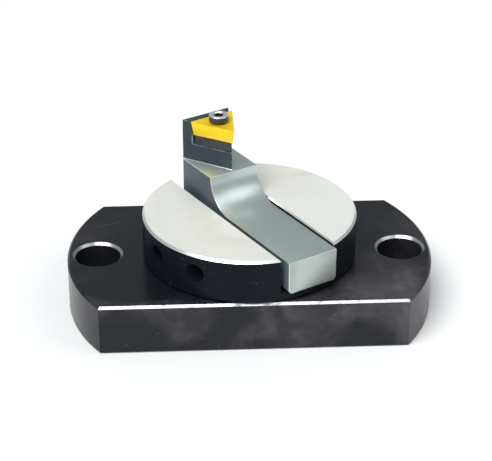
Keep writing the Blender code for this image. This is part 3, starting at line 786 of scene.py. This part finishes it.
@dataclass
class BaseFlange:
    """The blacked flange: a disc with two flats, two bolt holes and the bearing's recesses."""

    top_chamfer: float = 0.7 * MM
    foot_chamfer: float = 0.6 * MM
    hole_radius: float = 7.5 * MM
    hole_chamfer: float = 0.8 * MM
    hole_land: float = 1.7 * MM
    hole_foot_chamfer: float = 0.5 * MM
    nut_room: float = 2 * MM
    race_room: float = 0.5 * MM
    seal_thickness: float = 2 * MM
    steps: int = 240

    def __post_init__(self) -> None:
        """Reads the flange's own size from the frame."""
        self.radius, self.half_width, self.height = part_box("base_flange")[1]
        self.hole_middle = self.radius - self.hole_land - self.hole_chamfer - self.hole_radius

    def outline(self) -> list[Point]:
        """The turned section, with the recesses that the bearing and the nut sit in.

        Returns:
            The outline's radii and heights.
        """
        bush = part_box("pivot_bush")
        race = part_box("thrust_race_lower")
        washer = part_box("thrust_washer")
        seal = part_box("dust_seal")
        web_top = race[0].z - GAP
        web_bottom = bush[0].z
        bush_hole = bush[1].x + GAP
        nut_recess = washer[1].x + self.nut_room
        bearing_recess = race[1].x + self.race_room
        seal_outer = seal[1].x + GAP
        seal_inner = seal[1].x - self.seal_thickness - GAP
        seal_floor = seal[0].z - GAP
        return [
            (nut_recess, 0),
            (self.radius - self.foot_chamfer, 0),
            (self.radius, self.foot_chamfer),
            (self.radius, self.height - self.top_chamfer),
            (self.radius - self.top_chamfer, self.height),
            (seal_outer, self.height),
            (seal_outer, seal_floor),
            (seal_inner, seal_floor),
            (seal_inner, self.height),
            (bearing_recess, self.height),
            (bearing_recess, web_top),
            (bush_hole, web_top),
            (bush_hole, web_bottom),
            (nut_recess, web_bottom),
        ]

    def flat_cutter(self, side: int) -> Solid:
        """The tool that mills one flat, with its chamfers.

        Args:
            side: 1 for the back, -1 for the front.

        Returns:
            The tool.
        """
        edge = self.half_width
        outline = [
            (edge - self.foot_chamfer - OVER, -OVER),
            (edge, self.foot_chamfer),
            (edge, self.height - self.top_chamfer),
            (edge - self.top_chamfer - OVER, self.height + OVER),
            (self.radius + OVER, self.height + OVER),
            (self.radius + OVER, -OVER),
        ]
        mirrored = [(side * across, height) for across, height in outline]
        return extruded(mirrored, -self.radius - OVER, self.radius + OVER, Plane.YZ)

    def hole_cutter(self, side: int) -> Solid:
        """The tool that bores and chamfers one bolt hole.

        Args:
            side: 1 for the right hole, -1 for the left.

        Returns:
            The tool.
        """
        foot = self.hole_foot_chamfer
        outline = [
            (0, -OVER),
            (self.hole_radius + foot + OVER, -OVER),
            (self.hole_radius, foot),
            (self.hole_radius, self.height - self.hole_chamfer),
            (self.hole_radius + self.hole_chamfer + OVER, self.height + OVER),
            (0, self.height + OVER),
        ]
        return moved(turned(outline, 96), Matrix.Translation((side * self.hole_middle, 0, 0)))

    def build(self) -> None:
        """Builds and dresses the flange."""
        tools = [self.flat_cutter(side) for side in (-1, 1)] + [self.hole_cutter(side) for side in (-1, 1)]
        bm = carved(turned(self.outline(), self.steps), tools)
        paint(bm, EDGE_WEAR_AND_HIGHLIGHT_SLOT, self.is_bright_chamfer)
        finishes = (Finish.FLANGE_BLACK, Finish.MACHINED_CHAMFER)
        finished("blacked_flange", bm, "base", finishes, ("base_flange",))

    def is_bright_chamfer(self, face: Face) -> bool:
        """Says whether a face is a chamfer painted bright: partly steel cut bare after the blacking, partly
        a painted highlight along the edge.

        Args:
            face: A face of the flange.

        Returns:
            True on the chamfers of the flats' top edges and of the bolt holes.
        """
        middle = face.calc_center_median()
        if not 0.3 < face.normal.z < 0.95:
            return False
        on_flat = abs(face.normal.y) > 0.6 and abs(abs(middle.y) - self.half_width) < self.top_chamfer
        from_hole = math.hypot(abs(middle.x) - self.hole_middle, middle.y)
        return on_flat or from_hole < self.hole_radius + self.hole_chamfer


@dataclass
class SwivelTable:
    """The round table: blacked all over, then ground bright on its face, with a slot right across it."""

    turn: float = math.radians(-60)
    thickness: float = 15 * MM
    chamfer: float = 0.7 * MM
    slot_width: float = 20 * MM
    slot_depth: float = 12.2 * MM
    slot_chamfer: float = 0.4 * MM
    spigot_radius: float = 11 * MM
    thread_radius: float = 10 * MM
    thread_depth: float = 0.45 * MM
    thread_pitch: float = 1 * MM
    boss_height: float = 0.6 * MM
    boss_margin: float = 1.5 * MM
    centre_hole: float = 1.6 * MM
    clamp_spacing: float = 16 * MM
    lever_hole: float = 4.25 * MM
    lever_hole_wall: float = 2.6 * MM
    lever_angle: float = math.radians(60)
    lever_hole_chamfer: float = 0.8 * MM
    lever_thread_depth: float = 0.35 * MM
    lever_thread_pitch: float = 1.5 * MM
    slot_corner: float = 0.4 * MM
    keyway_depth: float = 1.6 * MM
    keyway_width: float = 4.2 * MM
    steps: int = 256
    ground_slot: int = 2
    cut_slot: int = 3

    def __post_init__(self) -> None:
        """Reads the table's place from the frame."""
        low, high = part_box("swivel_table")
        self.radius = high.y
        self.top = high.z
        self.bottom = self.top - self.thickness
        self.spigot_end = low.z
        self.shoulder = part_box("pivot_bush")[0].z
        self.boss_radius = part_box("thrust_race_upper")[1].x - self.boss_margin
        self.slot_floor = self.top - self.slot_depth
        self.place = Matrix.Rotation(self.turn, 4, "Z")

    def outline(self) -> list[Point]:
        """The turned section, with the spigot and its thread.

        Returns:
            The outline's radii and heights.
        """
        boss_bottom = self.bottom - self.boss_height
        root = self.thread_radius - self.thread_depth
        return [
            (0, self.spigot_end + 3 * MM),
            (self.centre_hole, self.spigot_end + 2 * MM),
            (self.centre_hole * 2, self.spigot_end),
            (root, self.spigot_end),
            *thread(root, self.thread_radius, self.spigot_end + 0.2 * MM, self.shoulder, self.thread_pitch),
            (root, self.shoulder),
            (self.spigot_radius, self.shoulder),
            (self.spigot_radius, boss_bottom),
            (self.boss_radius, boss_bottom),
            (self.boss_radius, self.bottom),
            (self.radius - self.chamfer, self.bottom),
            (self.radius, self.bottom + self.chamfer),
            (self.radius, self.top - self.chamfer),
            (self.radius - self.chamfer, self.top),
            (0, self.top),
        ]

    def slot_cutter(self) -> Solid:
        """The tool that mills the slot and breaks its top edges."""
        half = self.slot_width / 2
        mouth = half + self.slot_chamfer + OVER
        relief = self.slot_corner
        outline = [
            (-half + relief, self.slot_floor),
            (half - relief, self.slot_floor),
            (half, self.slot_floor + relief),
            (half, self.top - self.slot_chamfer),
            (mouth, self.top + OVER),
            (-mouth, self.top + OVER),
            (-half, self.top - self.slot_chamfer),
            (-half, self.slot_floor + relief),
        ]
        return extruded(outline, -self.radius - OVER, self.radius + OVER, Plane.YZ)

    def clamp_cutter(self, along: float) -> Solid:
        """The tool that bores one clamp screw's hole.

        Args:
            along: The hole's place along the slot.

        Returns:
            The tool.
        """
        low, high = heights("clamp_screw_middle")
        radius = (high - low) / 2 + GAP
        start, end = self.slot_width / 2 - OVER, self.radius + OVER
        return moved(drill(radius, start, end, 48), across_slot(along, 0, (low + high) / 2))

    def lever_cutter(self) -> Solid:
        """The tool that drills, chamfers and threads the lever's hole."""
        end = (
            self.slot_width / 2 + self.lever_hole_wall + self.lever_hole * math.cos(self.lever_angle)
        ) / math.sin(self.lever_angle)
        mouth = self.radius - self.lever_hole_chamfer
        ridge = self.lever_hole + self.lever_thread_depth
        outline = [
            (0, end),
            (self.lever_hole, end),
            *thread(self.lever_hole, ridge, end + 3 * MM, mouth - 1.2 * MM, self.lever_thread_pitch),
            (self.lever_hole, mouth),
            (self.lever_hole + self.lever_hole_chamfer + OVER, self.radius + OVER),
            (0, self.radius + OVER),
        ]
        place = (
            Matrix.Translation((0, 0, (self.top + self.bottom) / 2))
            @ Matrix.Rotation(self.lever_angle, 4, "Z")
            @ Matrix.Rotation(math.pi / 2, 4, "Y")
        )
        return moved(turned(outline, 64), place)

    def keyway_cutter(self) -> Solid:
        """The tool that cuts the keyway for the tab washer."""
        half = self.keyway_width / 2
        floor = self.thread_radius - self.keyway_depth
        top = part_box("thrust_washer")[1].z
        return extruded(oblong(floor, -half, floor + 2 * OVER, half), self.spigot_end - OVER, top)

    def build(self) -> None:
        """Builds and dresses the table."""
        tools = [self.slot_cutter(), self.lever_cutter(), self.keyway_cutter()]
        tools += [self.clamp_cutter(step * self.clamp_spacing) for step in (-1, 0, 1)]
        bm = carved(turned(self.outline(), self.steps), tools)
        paint(bm, self.ground_slot, self.is_ground)
        paint(bm, self.cut_slot, self.is_cut)
        # The top rim's and the slot's chamfers take the bright edge finish: worn steel with a painted
        # highlight along the edge.
        for face in bm.faces:
            if 0.3 < face.normal.z < 0.95 and face.calc_center_median().z > self.top - self.chamfer:
                face.material_index = EDGE_WEAR_AND_HIGHLIGHT_SLOT
        moved(bm, self.place)
        finishes = (Finish.TABLE_BLACK, Finish.EDGE_BRIGHT, Finish.TABLE_FACE, Finish.THREAD_CUT)
        finished("slotted_table", bm, "table", finishes, ("swivel_table",))

    def is_ground(self, face: Face) -> bool:
        """Says whether a face is part of the table's ground top."""
        return face.normal.z > 0.9 and face.calc_center_median().z > self.top - self.chamfer

    def is_cut(self, face: Face) -> bool:
        """Says whether a face was turned or threaded after the blacking."""
        middle = face.calc_center_median()
        under = middle.z < self.bottom - WELD
        return under or (middle.x > 0 and self.in_lever_hole(middle))

    def in_lever_hole(self, middle: Vector) -> bool:
        """Says whether a point lies in the lever's hole."""
        across = Matrix.Rotation(-self.lever_angle, 4, "Z") @ middle
        height = middle.z - (self.top + self.bottom) / 2
        inside = middle.xy.length < self.radius - 0.05 * MM
        return inside and across.x > 0 and math.hypot(across.y, height) < self.lever_hole + 0.9 * MM


@dataclass
class ToolBar:
    """The goose-neck bar: ground bright with a painted teal reflection, with painted shade on its long sides
    and its plain end, and a blued wedge head that holds the insert.
    """

    table: SwivelTable
    bar_play: float = 1.7 * MM
    bar_drop: float = 0.8 * MM
    front: float = 35.6 * MM
    back: float = 28 * MM
    foot_chamfer: float = 1 * MM
    neck_radius: float = 10.3 * MM
    nose_setback: float = 1.3 * MM
    neck_ledge: float = 0.94 * MM
    head_wall: float = 3.3 * MM
    stop_drop: float = 0.4 * MM
    inscribed: float = 9.525 * MM
    screw_hole: float = 2.8 * MM
    screw_hole_depth: float = 6.3 * MM
    edge_break: float = 0.2 * MM
    head_slot: int = 2
    end_slot: int = 3
    side_slot: int = 4
    head_edge_slot: int = 5

    def __post_init__(self) -> None:
        """Works out the bar's places from the table, the insert and the shim."""
        half_slot = self.table.slot_width / 2
        self.bottom = self.table.slot_floor + GAP
        self.top = self.table.top - self.bar_drop
        self.side = self.bar_play - half_slot
        self.wall = half_slot - GAP
        self.axis = (self.side + self.wall) / 2
        self.outside = (self.wall - self.side) / 2 + 2 * OVER
        self.stop_face = -self.back + self.head_wall
        self.insert_centre = self.stop_face + GAP + self.inscribed / 2
        self.nose = self.insert_centre + self.inscribed - self.nose_setback
        self.neck_back = self.nose + self.neck_ledge
        self.neck_front = self.neck_back + self.neck_radius
        self.neck_top = self.top + self.neck_radius
        self.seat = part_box("insert_shim")[0].z - GAP
        self.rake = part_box("carbide_insert")[1].z
        self.stop_top = self.rake - self.stop_drop
        self.insert_place = self.table.place @ Matrix.Translation((self.insert_centre, self.axis, 0))

    def wedge_cutter(self) -> Solid:
        """The tool that leaves the head's wedge, from its nose to the bar's full width at its back."""
        flare = (self.wall - self.side) / 2 / (self.nose + self.back)
        past_back = -self.back - OVER
        spread = flare * (self.nose - past_back)
        outside = self.outside
        outline = [
            (past_back, self.axis + outside),
            (past_back, self.axis + spread),
            (self.nose, self.axis),
            (past_back, self.axis - spread),
            (past_back, self.axis - outside),
            (self.neck_front, self.axis - outside),
            (self.neck_front, self.axis + outside),
        ]
        return extruded(outline, self.neck_top, self.stop_top + OVER)

    def pocket_cutter(self) -> Solid:
        """The tool that mills the insert's pocket down to the shim's seat."""
        low, high = self.axis - self.outside, self.axis + self.outside
        return extruded(oblong(self.stop_face, low, self.neck_front, high), self.seat, self.stop_top + OVER)

    def build(self) -> None:
        """Builds and dresses the bar."""
        neck = arc((self.neck_front, self.neck_top), self.neck_radius, -math.pi / 2, -math.pi, 40)
        outline = [
            (-self.back, self.bottom),
            (self.front, self.bottom),
            (self.front, self.top),
            *neck,
            (self.neck_back, self.stop_top),
            (-self.back, self.stop_top),
        ]
        bm = extruded(outline, self.side, self.wall, Plane.XZ)
        soften(bm, self.foot_chamfer, 1, self.is_foot_edge)
        for face in bm.faces:
            face.material_index = 0
        hole = drill(self.screw_hole, self.seat - self.screw_hole_depth, self.seat + OVER, 48)
        moved(hole, Matrix.Translation((self.insert_centre, self.axis, 0)))
        bm = carved(bm, [self.wedge_cutter(), self.pocket_cutter(), hole])
        # Every broken edge of the bar takes the bright edge finish, a painted highlight along it as well as
        # worn steel; the head's edges go dark below.
        soften(bm, self.edge_break, 2)
        for face in bm.faces:
            if face.material_index == EDGE_WEAR_AND_HIGHLIGHT_SLOT and face.calc_center_median().z > self.neck_top + 1 * MM:
                face.material_index = self.head_edge_slot
        paint(bm, self.head_slot, self.is_head)
        # The long sides take a dark finish that paints the shade falling on them.
        paint(bm, self.side_slot, lambda face: abs(face.normal.y) > 0.7)
        # The plain end takes the darker copy of ground steel, painted shade.
        paint(bm, self.end_slot, self.is_plain_end)
        moved(bm, self.table.place)
        finishes = (
            Finish.BAR_GROUND, Finish.EDGE_BRIGHT, Finish.HEAD_BLUED,
            Finish.BAR_END, Finish.BAR_BLUED, Finish.EDGE_DARK,
        )
        finished("goose_neck_bar", bm, "tool_slide", finishes, ("tool_bar",))

    def is_foot_edge(self, edge: bmesh.types.BMEdge) -> bool:
        """Says whether an edge is one of the two long ones along the bar's foot."""
        first, second = (vert.co for vert in edge.verts)
        return max(first.z, second.z) < self.bottom + WELD and abs(first.y - second.y) < WELD

    def is_plain_end(self, face: Face) -> bool:
        """Says whether a face is the end of the bar away from its head."""
        return face.normal.x > 0.9 and face.calc_center_median().x > self.front / 2

    def is_head(self, face: Face) -> bool:
        """Says whether a face belongs to the blued head."""
        middle = face.calc_center_median()
        return middle.z > self.neck_top + 0.5 * MM or face.normal.x < -0.9


@dataclass
class CuttingInsert:
    """The triangular insert, its shim and the screw that holds them."""

    bar: ToolBar
    corner: float = 0.4 * MM
    least_corner: float = 0.1 * MM
    relief: float = math.radians(7)
    hole: float = 2.2 * MM
    land: float = 0.55 * MM
    breaker_depth: float = 0.16 * MM
    breaker_run: float = 0.35 * MM
    shim_margin: float = 0.2 * MM
    shim_counterbore: float = 3.38 * MM
    counterbore_depth: float = 1.3 * MM
    shim_hole: float = 2.8 * MM
    head_radius: float = 3.25 * MM
    socket_flats: float = 3 * MM
    shank: float = 1.7 * MM
    thread_depth: float = 0.3 * MM
    thread_pitch: float = 0.7 * MM
    crown: float = 0.45 * MM

    def rounded(self, inradius: float, corner: float) -> list[Point]:
        """A triangle with round corners, one of them towards +X, and a point halfway along each side.

        Args:
            inradius: The inscribed circle's radius.
            corner: The corners' radius.

        Returns:
            The outline.
        """
        outline = []
        for number in range(3):
            heading = number * 2 * math.pi / 3
            side = heading - math.pi / 3
            outline.append((inradius * math.cos(side), inradius * math.sin(side)))
            reach = 2 * (inradius - corner)
            centre = (reach * math.cos(heading), reach * math.sin(heading))
            outline += arc(centre, corner, heading - math.pi / 3, heading + math.pi / 3, 12)
        return outline

    def build_insert(self) -> None:
        """Builds the insert, with a land along its edges and a shallow chip breaker inside it."""
        low, high = heights("carbide_insert")
        inradius = self.bar.inscribed / 2
        lean = (high - low) * math.tan(self.relief)
        floor = high - self.breaker_depth
        levels = (
            (low, -lean, self.least_corner),
            (high, 0.0, self.corner),
            (high, -self.land, self.corner),
            (floor, -self.land - self.breaker_run, 2 * self.corner),
            (floor, self.hole + 0.4 * MM - inradius, self.hole),
        )
        rings = []
        for height, grow, corner in levels:
            rings.append([(x, y, height) for x, y in self.rounded(inradius + grow, corner)])
        around = arc((0, 0), self.hole, -math.pi / 3, 5 * math.pi / 3, len(rings[0]))[:-1]
        for height in (floor, low):
            rings.append([(x, y, height) for x, y in around])
        bm = lofted(rings)
        soften(bm, 0.05 * MM, 2, over=math.radians(50))
        moved(bm, self.bar.insert_place)
        finishes = (Finish.INSERT_GOLD, Finish.INSERT_EDGE)
        finished("gold_insert", bm, "tool_slide", finishes, ("carbide_insert",))

    def build_shim(self) -> None:
        """Builds the shim, counterbored for its hollow screw."""
        low, high = heights("insert_shim")
        insert_low, insert_high = heights("carbide_insert")
        lean = (insert_high - insert_low) * math.tan(self.relief)
        inradius = self.bar.inscribed / 2 - lean - self.shim_margin
        bm = extruded(self.rounded(inradius, self.corner / 2), low, high)
        bm = carved(
            bm,
            [
                drill(self.shim_hole, low - OVER, high + OVER, 64),
                drill(self.shim_counterbore, high - self.counterbore_depth, high + OVER, 64),
            ],
        )
        soften(bm, 0.1 * MM, 2, over=math.radians(50))
        moved(bm, self.bar.insert_place)
        finishes = (Finish.SHIM_CARBIDE, Finish.EDGE_DARK)
        finished("carbide_shim", bm, "tool_slide", finishes, ("insert_shim",))

    def build_screw(self) -> None:
        """Builds the insert's screw: a round head with a hexagon socket, and a threaded shank."""
        low, high = heights("insert_screw")
        head_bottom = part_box("carbide_insert")[1].z + GAP
        crown = self.crown
        countersink = self.socket_flats / math.sqrt(3) + 0.25 * MM
        depth = (high - head_bottom) * 0.7
        root = self.shank - self.thread_depth
        outline = [
            (0, low),
            (root, low),
            *thread(root, self.shank, low + 0.1 * MM, head_bottom - 1.6 * MM, self.thread_pitch),
            (root, head_bottom - 1.2 * MM),
            (self.shank, head_bottom - 0.9 * MM),
            (self.shank, head_bottom),
            (self.head_radius - 0.2 * MM, head_bottom),
            (self.head_radius, head_bottom + 0.2 * MM),
            *arc((self.head_radius - crown, high - crown), crown, 0, math.pi / 2, 5),
            (countersink, high),
            (countersink - 0.35 * MM, high - 0.35 * MM),
            (0, high - 0.35 * MM),
        ]
        bm = turned(outline, 72)
        bm = carved(bm, [hexagon_tool(self.socket_flats / math.sqrt(3), high - depth, high + OVER)])
        # The head's round top takes the bright edge finish: a painted highlight ring, with worn metal.
        paint(bm, EDGE_WEAR_AND_HIGHLIGHT_SLOT, lambda face: face.calc_center_median().z > high - crown and face.normal.z > 0.2)
        moved(bm, self.bar.insert_place)
        finishes = (Finish.SCREW_BLACK, Finish.EDGE_BRIGHT)
        finished("socket_head_screw", bm, "insert_screw", finishes, ("insert_screw",))

    def build(self) -> None:
        """Builds the insert, the shim and the screw."""
        self.build_insert()
        self.build_shim()
        self.build_screw()


@dataclass
class ClampScrews:
    """Three socket set screws that press the bar against the slot's far wall."""

    table: SwivelTable
    names: tuple[str, ...] = ("clamp_screw_head_end", "clamp_screw_middle", "clamp_screw_plain_end")
    length: float = 14 * MM
    socket_flats: float = 3 * MM
    socket_depth: float = 4 * MM
    socket_inset: float = 0.02 * MM  # of the hexagon's corners inside the countersink
    bar_play: float = 1.7 * MM
    pitch: float = 1 * MM
    thread_depth: float = 0.5 * MM
    dimple: float = 1.1 * MM

    def build(self) -> None:
        """Builds the three screws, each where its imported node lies."""
        for number, name in enumerate(self.names):
            low, high = heights(name)
            radius = (high - low) / 2
            root = radius - self.thread_depth
            outline = [
                (0, 0.7 * MM),
                (self.dimple, 0),
                (root, 0),
                *thread(root, radius, 0.5 * MM, self.length - 0.4 * MM, self.pitch),
                (root, self.length),
                (self.socket_flats / math.sqrt(3) + 0.2 * MM, self.length),
                (self.socket_flats / math.sqrt(3), self.length - 0.25 * MM),
                (0, self.length - 0.25 * MM),
            ]
            bm = turned(outline, 48)
            reach = self.socket_flats / math.sqrt(3) - self.socket_inset
            bm = carved(bm, [hexagon_tool(reach, self.length - self.socket_depth, self.length + OVER)])
            along = (number - 1) * self.table.clamp_spacing
            tip = self.bar_play - self.table.slot_width / 2 - GAP
            moved(bm, self.table.place @ across_slot(along, tip, (low + high) / 2))
            finishes = (Finish.SCREW_BLACK, Finish.EDGE_DARK)
            finished(name.replace("clamp_screw", "set_screw"), bm, name, finishes, (name,))


@dataclass
class LockNut:
    """The slotted nut under the base that holds the table down."""

    table: SwivelTable
    radius: float = 18 * MM
    slot_depth: float = 2.6 * MM
    slot_width: float = 4.2 * MM
    slots: int = 4
    chamfer: float = 0.6 * MM
    edge_break: float = 0.5 * MM

    def build(self) -> None:
        """Builds and dresses the nut."""
        low, high = heights("lock_nut")
        bore = self.table.thread_radius + GAP
        break_width = self.edge_break
        outline = [
            (bore, low + break_width),
            (bore + break_width, low),
            (self.radius - self.chamfer, low),
            (self.radius, low + self.chamfer),
            (self.radius, high - break_width),
            (self.radius - break_width, high),
            (bore, high),
        ]
        bm = turned(outline, 144)
        tools = []
        half = self.slot_width / 2
        floor = self.radius - self.slot_depth
        for number in range(self.slots):
            tool = extruded(oblong(floor, -half, self.radius + OVER, half), low - OVER, high + OVER)
            tools.append(moved(tool, Matrix.Rotation(number * 2 * math.pi / self.slots, 4, "Z")))
        bm = carved(bm, tools)
        soften(bm, 0.15 * MM, 2, over=math.radians(60))
        moved(bm, self.table.place)
        finishes = (Finish.NUT_BLUED, Finish.EDGE_DARK)
        finished("slotted_lock_nut", bm, "table", finishes, ("lock_nut",))


@dataclass
class HiddenPieces:
    """The bearing, washers and shim screw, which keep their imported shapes."""

    finishes: dict[str, Finish] = field(
        default_factory=lambda: {
            "pivot_bush": Finish.BUSH_BRONZE,
            "thrust_washer": Finish.BUSH_BRONZE,
            "dust_seal": Finish.SEAL_RUBBER,
            "thrust_race": Finish.RACE_POLISHED,
            "needle_roller": Finish.RACE_POLISHED,
            "needle_cage": Finish.CAGE_PRESSED,
            "tab_washer": Finish.CAGE_PRESSED,
            "shim_screw": Finish.SCREW_BLACK,
        }
    )

    def build(self) -> None:
        """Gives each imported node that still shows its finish."""
        for name, node in frame["nodes"].items():
            for start, finish in self.finishes.items():
                if name.startswith(start):
                    node.data.materials.clear()
                    node.data.materials.append(finish.material())
                    LOG.info("%s: %s", name, finish.name.lower())


# Studio


@dataclass
class Studio:
    """A pale floor, soft lights and the camera."""

    floor_size: float = 3.0
    floor_colour: Colour = (0.86, 0.87, 0.87)
    sky: Colour = (0.93, 0.96, 1.0)
    sky_strength: float = 0.36
    sun_strength: float = 2.9
    sun_angle: float = math.radians(45)
    sun_direction: tuple[float, float, float] = (0.30, 0.45, -0.9)
    camera_place: tuple[float, float, float] = (-0.0263, -0.5049, 0.2997)
    aim: tuple[float, float, float] = (-0.001, 0.002, 0.0235)
    lens: float = 128.0

    def floor(self) -> None:
        """Lays the floor just under the base."""
        bm = bmesh.new()
        bmesh.ops.create_grid(bm, x_segments=1, y_segments=1, size=self.floor_size / 2)
        floor = scene_object("floor", bm)
        shader = Shader("pale_floor")
        cloud = shader.noise(6.0, 3.0)
        colour = shader.mix(cloud, self.floor_colour, tuple(part * 0.98 for part in self.floor_colour))
        floor.data.materials.append(shader.dress(Base_Color=colour, Roughness=0.6))

    def sun(self) -> None:
        """Adds the broad main light, which falls evenly over the whole floor."""
        data = bpy.data.lights.new("main_light", "SUN")
        data.energy = self.sun_strength
        data.angle = self.sun_angle
        obj = bpy.data.objects.new("main_light", data)
        obj.rotation_euler = Vector(self.sun_direction).to_track_quat("-Z", "Y").to_euler()
        bpy.context.scene.collection.objects.link(obj)

    def light(self, name: str, place: Vector, size: float, watts: float) -> None:
        """Hangs one soft square light that faces the attachment.

        Args:
            name: The light's name.
            place: Where it hangs.
            size: The length of its side.
            watts: Its power.
        """
        data = bpy.data.lights.new(name, "AREA")
        data.size = size
        data.energy = watts
        obj = bpy.data.objects.new(name, data)
        obj.location = place
        obj.rotation_euler = (Vector(self.aim) - place).to_track_quat("-Z", "Y").to_euler()
        bpy.context.scene.collection.objects.link(obj)

    def camera(self) -> None:
        """Sets up the camera."""
        data = bpy.data.cameras.new("camera")
        data.lens = self.lens
        data.clip_start = 0.01
        camera = bpy.data.objects.new("camera", data)
        place = Vector(self.camera_place)
        camera.location = place
        camera.rotation_euler = (Vector(self.aim) - place).to_track_quat("-Z", "Y").to_euler()
        bpy.context.scene.collection.objects.link(camera)
        bpy.context.scene.camera = camera

    def build(self) -> None:
        """Builds the whole studio."""
        world = bpy.data.worlds.new("studio")
        world.use_nodes = True
        background = world.node_tree.nodes["Background"]
        background.inputs["Color"].default_value = (*self.sky, 1)
        background.inputs["Strength"].default_value = self.sky_strength
        bpy.context.scene.world = world
        bpy.context.scene.view_settings.view_transform = "Standard"
        self.floor()
        self.sun()
        self.light("front_left", Vector((-0.55, -0.75, 0.45)), 0.5, 0.9)
        self.light("right_window", Vector((0.62, -0.17, 0.72)), 0.6, 1.35)
        self.camera()


def clear_startup_scene() -> None:
    """Removes every object that the frame didn't bring."""
    kept = set(frame["nodes"].values()) | set(frame["bodies"].values())
    for obj in list(bpy.data.objects):
        if obj not in kept:
            bpy.data.objects.remove(obj)


def main() -> None:
    """Builds the studio and the attachment."""
    logging.basicConfig(level=logging.INFO, format="%(message)s")
    clear_startup_scene()
    Studio().build()
    table = SwivelTable()
    bar = ToolBar(table)
    fixings = (ClampScrews(table), LockNut(table), HiddenPieces())
    for part in (BaseFlange(), table, bar, CuttingInsert(bar), *fixings):
        part.build()


if __name__ == "__main__":
    main()
